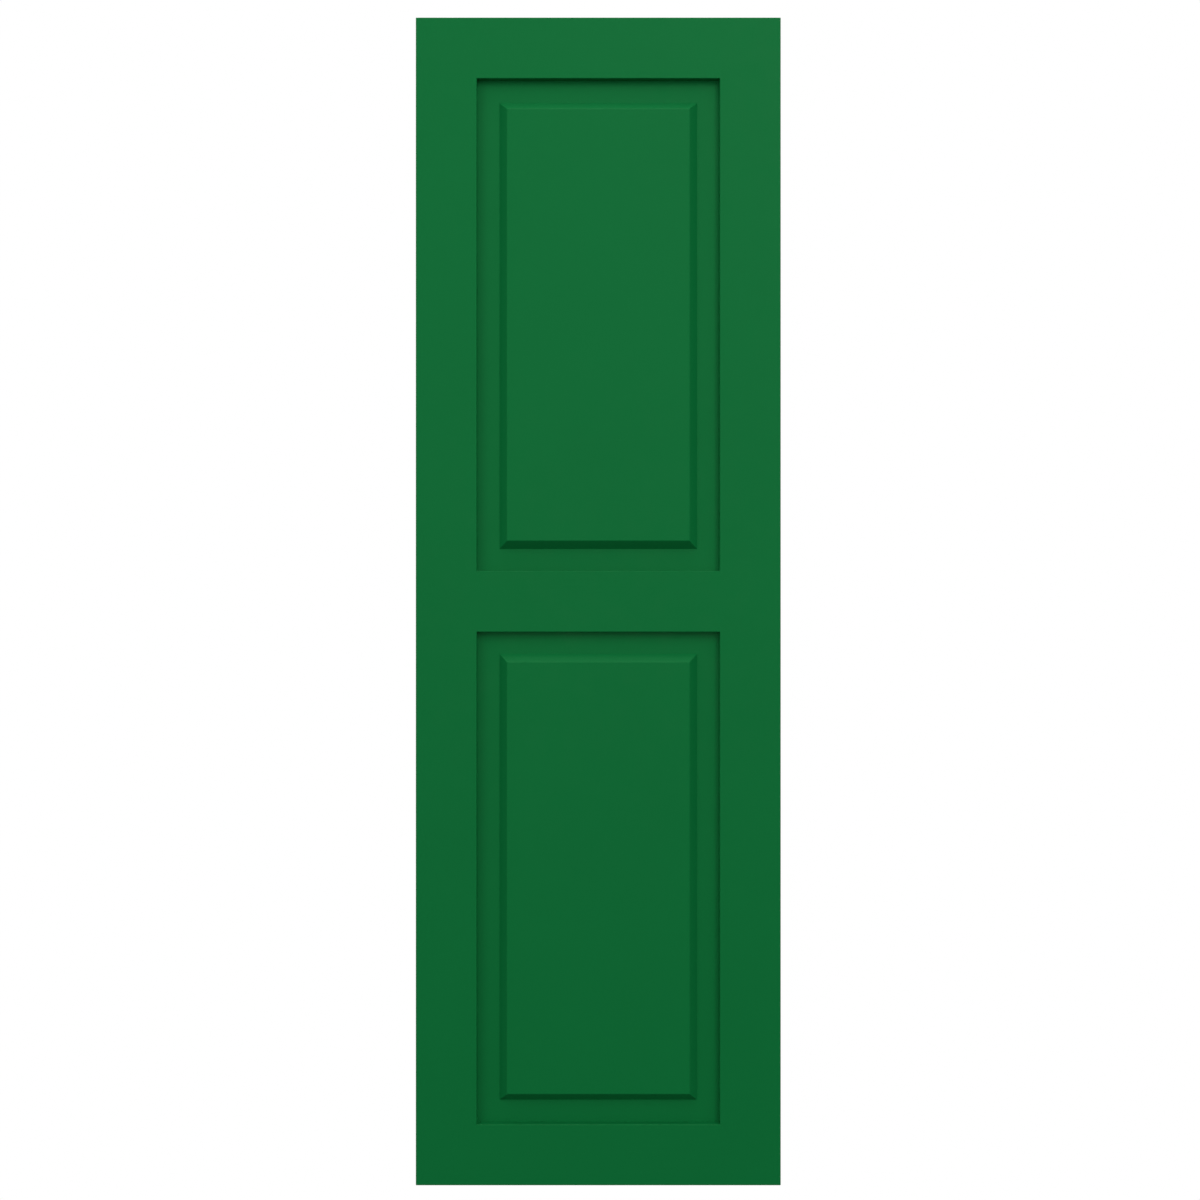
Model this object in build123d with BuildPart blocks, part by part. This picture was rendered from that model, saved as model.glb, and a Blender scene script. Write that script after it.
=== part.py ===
"""Raised panel shutter: a painted frame of two stiles and three rails round two floating panels.

Frame of reference: X runs across the shutter and Z runs up it. The back of the frame lies on
y = 0 and the front on y = -thickness. The origin is in the middle of the back.

The frame is ploughed with one groove along every edge that meets a panel. Each rail has a
tenon in a blind mortise in each stile. The outer rails' tenons are haunched, and the haunch
fills the open end of the stile's groove. Both faces of each panel carry the same raised field,
and its thin edge floats in the groove. All lengths are in millimetres.
"""

from build123d import *

import os
from dataclasses import dataclass

# Overall size
width = 381.0
height = 1219.2
thickness = 25.4

# Frame
stile_width = 63.5
top_rail_height = 63.5
middle_rail_height = 63.5
bottom_rail_height = 63.5
outer_round = 0.8
opening_easing = 0.4

# Panel groove and frame joints
groove_width = 6.35
groove_depth = 9.5
tenon_length = 31.75
haunch_height = 19.0
glue_line = 0.05
mortise_end_gap = 1.5

# Panels
panel_border = 23.25
bevel_run = 8.5
field_setback = 0.5
field_round = 1.0
tongue_clearance = 0.15
expansion_gap = 3.0

# Places and sizes that follow from the ones above
middle_plane = Plane.XZ.offset(thickness / 2)
half_width = width / 2
half_height = height / 2
opening_width = width - 2 * stile_width
opening_height = (height - top_rail_height - middle_rail_height - bottom_rail_height) / 2
upper_middle = half_height - top_rail_height - opening_height / 2
lower_middle = -half_height + bottom_rail_height + opening_height / 2
tenon_thickness = groove_width - 2 * glue_line
tongue_thickness = groove_width - 2 * tongue_clearance


@dataclass
class Rail:
    """Where a rail lies up the shutter, and on which of its edges it holds a panel."""

    bottom: float
    top: float
    panel_below: bool
    panel_above: bool

    def tenon_bottom(self):
        """The tenon starts at the bottom of the panel groove, or above the haunch."""
        return self.bottom + (groove_depth if self.panel_below else haunch_height)

    def tenon_top(self):
        """The tenon ends at the bottom of the panel groove, or below the haunch."""
        return self.top - (groove_depth if self.panel_above else haunch_height)


rails = {
    "top_rail": Rail(half_height - top_rail_height, half_height, True, False),
    "middle_rail": Rail(
        lower_middle + opening_height / 2, upper_middle - opening_height / 2, True, True
    ),
    "bottom_rail": Rail(-half_height, -half_height + bottom_rail_height, False, True),
}


def opening_plane(middle):
    """Plane in the middle of the thickness, facing forwards, at the height of an opening's middle."""
    return Plane(origin=(0, -thickness / 2, middle), x_dir=(1, 0, 0), z_dir=(0, -1, 0))


def frame_rectangle(left, right, bottom, top):
    """Rectangle between four sides, in a sketch whose axes run across and up the shutter."""
    with Locations(((left + right) / 2, (bottom + top) / 2)):
        Rectangle(right - left, top - bottom)


def make_opening_waste(middle):
    """What is taken off to ease the arrises round an opening, on both faces of the frame.

    Each plate dips into its face by the easing and slopes at 45 degrees there, so that the
    eased arrises of stiles and rails meet in mitres.
    """
    with BuildPart() as waste:
        with BuildSketch(opening_plane(middle).offset(thickness / 2 - opening_easing)):
            Rectangle(opening_width + 2 * opening_easing, opening_height + 2 * opening_easing)
        extrude(amount=2 * opening_easing)
        chamfer(waste.faces().sort_by(Axis.Y)[-1].edges(), length=opening_easing)
        mirror(about=middle_plane)
    return waste.part


opening_wastes = [make_opening_waste(middle) for middle in (upper_middle, lower_middle)]


def make_stile(side):
    """Stile on the left (side = -1) or on the right (side = 1)."""

    def stile_rectangle(depth, bottom, top):
        """Rectangle that goes from the stile's inner edge into the stile by a depth."""
        inner = side * opening_width / 2
        outer = inner + side * depth
        frame_rectangle(min(inner, outer), max(inner, outer), bottom, top)

    with BuildPart() as stile:
        with BuildSketch(Plane.XZ):
            stile_rectangle(stile_width, -half_height, half_height)
        extrude(amount=thickness)
        inner_edge = stile.faces().sort_by(Axis.X)[0 if side > 0 else -1]
        fillet(stile.edges() - inner_edge.edges(), radius=outer_round)

        # Panel groove, ploughed from end to end
        with BuildSketch(middle_plane):
            stile_rectangle(groove_depth, -half_height, half_height)
        extrude(amount=groove_width / 2, both=True, mode=Mode.SUBTRACT)

        # Blind mortises
        with BuildSketch(middle_plane):
            for rail in rails.values():
                stile_rectangle(
                    tenon_length + mortise_end_gap,
                    rail.tenon_bottom() - glue_line,
                    rail.tenon_top() + glue_line,
                )
        extrude(amount=groove_width / 2, both=True, mode=Mode.SUBTRACT)

        for waste in opening_wastes:
            add(waste, mode=Mode.SUBTRACT)
    return stile


def make_rail(rail):
    """Rail between the stiles' inner edges, with its tenons, haunches and panel grooves."""
    shoulder = opening_width / 2

    with BuildPart() as body:
        with BuildSketch(Plane.XZ):
            frame_rectangle(-shoulder, shoulder, rail.bottom, rail.top)
        extrude(amount=thickness)
        top_edge = body.faces().sort_by(Axis.Z)[-1]
        bottom_edge = body.faces().sort_by(Axis.Z)[0]
        outer_edges = ([] if rail.panel_above else [top_edge]) + ([] if rail.panel_below else [bottom_edge])
        for edge in outer_edges:
            fillet(edge.edges().filter_by(Axis.X), radius=outer_round)

        # Panel grooves
        if rail.panel_above:
            with BuildSketch(middle_plane):
                frame_rectangle(-shoulder, shoulder, rail.top - groove_depth, rail.top)
            extrude(amount=groove_width / 2, both=True, mode=Mode.SUBTRACT)
        if rail.panel_below:
            with BuildSketch(middle_plane):
                frame_rectangle(-shoulder, shoulder, rail.bottom, rail.bottom + groove_depth)
            extrude(amount=groove_width / 2, both=True, mode=Mode.SUBTRACT)

        # Tenons, and the haunches beside them on an outer rail
        tenon_end = shoulder + tenon_length
        haunch_end = shoulder + groove_depth - glue_line
        with BuildSketch(middle_plane):
            frame_rectangle(-tenon_end, tenon_end, rail.tenon_bottom(), rail.tenon_top())
            if not rail.panel_above:
                frame_rectangle(-haunch_end, haunch_end, rail.tenon_top(), rail.top)
            if not rail.panel_below:
                frame_rectangle(-haunch_end, haunch_end, rail.bottom, rail.tenon_bottom())
        extrude(amount=tenon_thickness / 2, both=True)

        for waste in opening_wastes:
            add(waste, mode=Mode.SUBTRACT)
    return body


def make_panel(middle):
    """Panel that floats in the opening whose middle is at this height."""
    foot_width = opening_width - 2 * panel_border
    foot_height = opening_height - 2 * panel_border
    field_height = thickness / 2 - field_setback
    tongue_reach = groove_depth - expansion_gap

    with BuildPart() as panel:
        # Raised field, bevelled on all sides, and then the same on the back
        with BuildSketch(opening_plane(middle)):
            Rectangle(foot_width, foot_height)
        extrude(amount=field_height)
        field = panel.faces().sort_by(Axis.Y)[0]
        chamfer(
            field.edges(),
            length=bevel_run,
            length2=field_height - tongue_thickness / 2,
            reference=field,
        )
        fillet(panel.faces().sort_by(Axis.Y)[0].edges(), radius=field_round)
        mirror(about=middle_plane)

        # Flat border, whose edge is the tongue in the frame's grooves
        with BuildSketch(opening_plane(middle)):
            Rectangle(opening_width + 2 * tongue_reach, opening_height + 2 * tongue_reach)
        extrude(amount=tongue_thickness / 2, both=True)
    return panel


pieces = {
    "left_stile": make_stile(-1),
    "right_stile": make_stile(1),
    **{name: make_rail(rail) for name, rail in rails.items()},
    "upper_panel": make_panel(upper_middle),
    "lower_panel": make_panel(lower_middle),
}

os.makedirs("parts", exist_ok=True)
for name, piece in pieces.items():
    piece.part.label = name
    export_step(piece.part, f"parts/{name}.step")
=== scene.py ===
"""Looks of the raised panel shutter: smooth green paint, a pale floor and soft light from above."""

import math

import bpy
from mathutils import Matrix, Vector


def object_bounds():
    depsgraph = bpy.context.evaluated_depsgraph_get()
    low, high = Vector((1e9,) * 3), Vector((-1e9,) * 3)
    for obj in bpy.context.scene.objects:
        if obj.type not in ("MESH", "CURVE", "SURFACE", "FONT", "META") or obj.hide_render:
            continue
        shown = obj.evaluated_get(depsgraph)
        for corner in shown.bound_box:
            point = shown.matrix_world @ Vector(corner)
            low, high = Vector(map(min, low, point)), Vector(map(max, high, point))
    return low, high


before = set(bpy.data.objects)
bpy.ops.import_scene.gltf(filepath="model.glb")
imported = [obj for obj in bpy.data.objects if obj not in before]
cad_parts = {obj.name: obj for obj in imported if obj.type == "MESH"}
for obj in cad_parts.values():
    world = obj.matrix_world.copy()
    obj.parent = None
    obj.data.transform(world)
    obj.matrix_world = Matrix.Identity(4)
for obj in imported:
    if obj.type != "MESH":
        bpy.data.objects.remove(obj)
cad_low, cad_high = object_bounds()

# Places, in metres, that follow from the frame
object_middle = (cad_low + cad_high) / 2
front_face = cad_low.y
foot = cad_low.z

# Camera, level and square to the shutter, a little off its middle
lens_mm = 50
sensor_mm = 36
camera_distance = 1.7396
camera_right = 0.0018
camera_up = 0.0015

# Floor: the shutter hangs this far above it, and it turns pure white away from the shutter
floor_drop = 0.45
floor_radius = 8.0
floor_sides = 96
floor_plain_radius = 0.5
floor_white_radius = 1.1
# The floor's grey as it is seen, and the darker one that it lights the shutter with
floor_seen_grey = 0.68
floor_bounce_grey = 0.15

# Light: even light from the world, and lamps that face the middle of the shutter
pure_white = (1, 1, 1, 1)
white_strength = 1
ambient_strength = 0.8
softboxes = [
    # name, degrees to the right, degrees up, distance in metres, width in metres, power in watts
    ("key", 20, 35, 3.0, 1.0, 19),
    ("overhead", 0, 80, 3.0, 1.0, 12),
    ("upper_left", -40, 45, 3.0, 1.0, 11),
    ("front_fill", 0, 0, 3.0, 1.0, 8),
    ("right_spot", 30, 20, 3.0, 0.25, 7),
    ("left_fill", -45, 10, 3.0, 1.0, 3),
    ("back_fill", 180, 30, 3.0, 1.5, 40),
]
# Seen by the paint's gloss alone: the pale tone of the bevels that face upwards
gloss_lamp = ("gloss_lamp", 0, 70, 3.0, 1.0, 40)

# Paint, smooth and satin, with the sizes of its clouds and patches in metres
paint_colour = (0.003, 0.134, 0.032)
paint_specular = 0.04
paint_shade_spread = 0.012
paint_cloud_size = 0.11
paint_cloud_detail = 3
paint_roughness_low = 0.4
paint_roughness_high = 0.52
paint_roughness_size = 0.02
paint_roughness_detail = 2

# Nearly all of a noise lies between these two numbers
noise_low = 0.3
noise_high = 0.7

# Relief, in metres: the paint's stipple and slow waves, and very faintly the wood's grain
stipple_size = 0.0018
stipple_height = 0.00003
wave_size = 0.035
wave_height = 0.0002
grain_width = 0.0022
grain_length = 0.09
grain_height = 0.00005
grain_detail = 3


def new_material(name):
    """Empty node material and its node tree."""
    material = bpy.data.materials.new(name)
    material.use_nodes = True
    material.node_tree.nodes.clear()
    return material, material.node_tree


def add_node(tree, kind, **settings):
    """Adds a node of a kind and sets its properties."""
    node = tree.nodes.new(kind)
    for name, value in settings.items():
        setattr(node, name, value)
    return node


def add_noise(tree, coordinates, size, detail=1):
    """Noise from 0 to 1, whose spots have a given size in the units of the coordinates."""
    noise = add_node(tree, "ShaderNodeTexNoise")
    noise.inputs["Scale"].default_value = 1 / size
    noise.inputs["Detail"].default_value = detail
    tree.links.new(coordinates, noise.inputs["Vector"])
    return noise.outputs["Fac"]


def add_range(tree, value, low, high):
    """Spreads a noise over the numbers between low and high."""
    spread = add_node(tree, "ShaderNodeMapRange")
    spread.inputs["From Min"].default_value = noise_low
    spread.inputs["From Max"].default_value = noise_high
    spread.inputs["To Min"].default_value = low
    spread.inputs["To Max"].default_value = high
    tree.links.new(value, spread.inputs["Value"])
    return spread.outputs[0]


def add_bump(tree, height_map, height, normal=None):
    """Bump of a given height in metres, on top of another one."""
    bump = add_node(tree, "ShaderNodeBump")
    bump.inputs["Distance"].default_value = height
    tree.links.new(height_map, bump.inputs["Height"])
    if normal:
        tree.links.new(normal, bump.inputs["Normal"])
    return bump.outputs["Normal"]


def make_paint(name, grain_axis):
    """Satin paint on a board whose grain runs along an axis, 0 for X and 2 for Z."""
    material, tree = new_material(name)
    place = add_node(tree, "ShaderNodeTexCoord").outputs["Object"]
    shader = add_node(tree, "ShaderNodeBsdfPrincipled")
    shader.inputs["Specular IOR Level"].default_value = paint_specular

    # Broad clouds a shade lighter and darker
    clouds = add_noise(tree, place, paint_cloud_size, paint_cloud_detail)
    shade = add_range(tree, clouds, 1 - paint_shade_spread, 1 + paint_shade_spread)
    colour = add_node(tree, "ShaderNodeVectorMath", operation="SCALE")
    colour.inputs[0].default_value = paint_colour
    tree.links.new(shade, colour.inputs["Scale"])
    tree.links.new(colour.outputs[0], shader.inputs["Base Color"])

    # Patches a little glossier than others
    patches = add_noise(tree, place, paint_roughness_size, paint_roughness_detail)
    roughness = add_range(tree, patches, paint_roughness_low, paint_roughness_high)
    tree.links.new(roughness, shader.inputs["Roughness"])

    # The wood's grain under the paint, the paint's slow waves and its fine stipple
    stretch = [1 / grain_width] * 3
    stretch[grain_axis] = 1 / grain_length
    along = add_node(tree, "ShaderNodeVectorMath", operation="MULTIPLY")
    along.inputs[1].default_value = stretch
    tree.links.new(place, along.inputs[0])
    grain = add_noise(tree, along.outputs[0], size=1, detail=grain_detail)
    normal = add_bump(tree, grain, grain_height)
    waves = add_noise(tree, place, wave_size)
    normal = add_bump(tree, waves, wave_height, normal)
    stipple = add_noise(tree, place, stipple_size)
    normal = add_bump(tree, stipple, stipple_height, normal)
    tree.links.new(normal, shader.inputs["Normal"])

    output = add_node(tree, "ShaderNodeOutputMaterial")
    tree.links.new(shader.outputs[0], output.inputs["Surface"])
    return material


def seen_directly(tree):
    """Socket that is 1 for rays from the camera and for mirror and glass rays, and 0 for the rest."""
    path = add_node(tree, "ShaderNodeLightPath")
    camera_or_glossy = add_node(tree, "ShaderNodeMath", operation="ADD", use_clamp=True)
    tree.links.new(path.outputs["Is Camera Ray"], camera_or_glossy.inputs[0])
    tree.links.new(path.outputs["Is Glossy Ray"], camera_or_glossy.inputs[1])
    all_three = add_node(tree, "ShaderNodeMath", operation="ADD", use_clamp=True)
    tree.links.new(camera_or_glossy.outputs[0], all_three.inputs[0])
    tree.links.new(path.outputs["Is Transmission Ray"], all_three.inputs[1])
    return all_three.outputs[0]


def make_world():
    """White where it is seen, and a dimmer even light on surfaces."""
    world = bpy.data.worlds.new("studio")
    world.use_nodes = True
    bpy.context.scene.world = world
    tree = world.node_tree
    tree.nodes.clear()
    strength = add_node(tree, "ShaderNodeMapRange")
    strength.inputs["To Min"].default_value = ambient_strength
    strength.inputs["To Max"].default_value = white_strength
    tree.links.new(seen_directly(tree), strength.inputs["Value"])
    background = add_node(tree, "ShaderNodeBackground")
    background.inputs["Color"].default_value = pure_white
    tree.links.new(strength.outputs[0], background.inputs["Strength"])
    output = add_node(tree, "ShaderNodeOutputWorld")
    tree.links.new(background.outputs[0], output.inputs["Surface"])


def make_floor_material():
    """Pale matt floor that catches the shadow, and turns white away from the shutter."""
    material, tree = new_material("pale_floor")
    seen = seen_directly(tree)
    grey = add_node(tree, "ShaderNodeMapRange")
    grey.inputs["To Min"].default_value = floor_bounce_grey
    grey.inputs["To Max"].default_value = floor_seen_grey
    tree.links.new(seen, grey.inputs["Value"])
    matt = add_node(tree, "ShaderNodeBsdfDiffuse")
    tree.links.new(grey.outputs[0], matt.inputs["Color"])
    white = add_node(tree, "ShaderNodeEmission")

    # How far a point is from the middle of the floor
    place = add_node(tree, "ShaderNodeTexCoord")
    distance = add_node(tree, "ShaderNodeVectorMath", operation="LENGTH")
    tree.links.new(place.outputs["Object"], distance.inputs[0])
    whiteness = add_node(tree, "ShaderNodeMapRange", interpolation_type="SMOOTHSTEP")
    whiteness.inputs["From Min"].default_value = floor_plain_radius
    whiteness.inputs["From Max"].default_value = floor_white_radius
    tree.links.new(distance.outputs["Value"], whiteness.inputs["Value"])

    share = add_node(tree, "ShaderNodeMath", operation="MULTIPLY")
    tree.links.new(whiteness.outputs[0], share.inputs[0])
    tree.links.new(seen, share.inputs[1])
    mix = add_node(tree, "ShaderNodeMixShader")
    tree.links.new(share.outputs[0], mix.inputs["Fac"])
    tree.links.new(matt.outputs[0], mix.inputs[1])
    tree.links.new(white.outputs[0], mix.inputs[2])
    output = add_node(tree, "ShaderNodeOutputMaterial")
    tree.links.new(mix.outputs[0], output.inputs["Surface"])
    return material


def make_floor():
    """Round floor below the shutter."""
    bpy.ops.mesh.primitive_circle_add(
        vertices=floor_sides,
        radius=floor_radius,
        fill_type="NGON",
        location=(object_middle.x, object_middle.y, foot - floor_drop),
    )
    floor = bpy.context.object
    floor.name = "floor"
    floor.data.materials.append(make_floor_material())


def make_camera():
    """Camera that looks straight at the shutter along +Y."""
    level = math.radians(90)
    data = bpy.data.cameras.new("camera")
    data.lens = lens_mm
    data.sensor_width = sensor_mm
    camera = bpy.data.objects.new("camera", data)
    camera.location = (camera_right, front_face - camera_distance, camera_up)
    camera.rotation_euler = (level, 0, 0)
    bpy.context.scene.collection.objects.link(camera)
    bpy.context.scene.camera = camera


def make_softbox(name, azimuth, elevation, distance, width, power):
    """Square area light, unseen by the camera, that faces the shutter from the given direction."""
    turn = math.radians(azimuth)
    rise = math.radians(elevation)
    direction = Vector(
        (math.sin(turn) * math.cos(rise), -math.cos(turn) * math.cos(rise), math.sin(rise))
    )
    data = bpy.data.lights.new(name, "AREA")
    data.size = width
    data.energy = power
    light = bpy.data.objects.new(name, data)
    light.location = object_middle + direction * distance
    light.rotation_euler = direction.to_track_quat("Z", "Y").to_euler()
    light.visible_camera = False
    bpy.context.scene.collection.objects.link(light)
    return light


def dress_frame():
    """Gives every piece its paint: the grain runs along the rails, and up the stiles and panels."""
    upright = make_paint("paint_grain_up", grain_axis=2)
    crosswise = make_paint("paint_grain_across", grain_axis=0)
    for name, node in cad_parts.items():
        node.data.materials.clear()
        node.data.materials.append(crosswise if name.endswith("rail") else upright)


make_camera()
dress_frame()
make_floor()
make_world()
for softbox in softboxes:
    make_softbox(*softbox)
gloss_light = make_softbox(*gloss_lamp)
gloss_light.visible_diffuse = False

bpy.context.scene.view_settings.view_transform = "Standard"
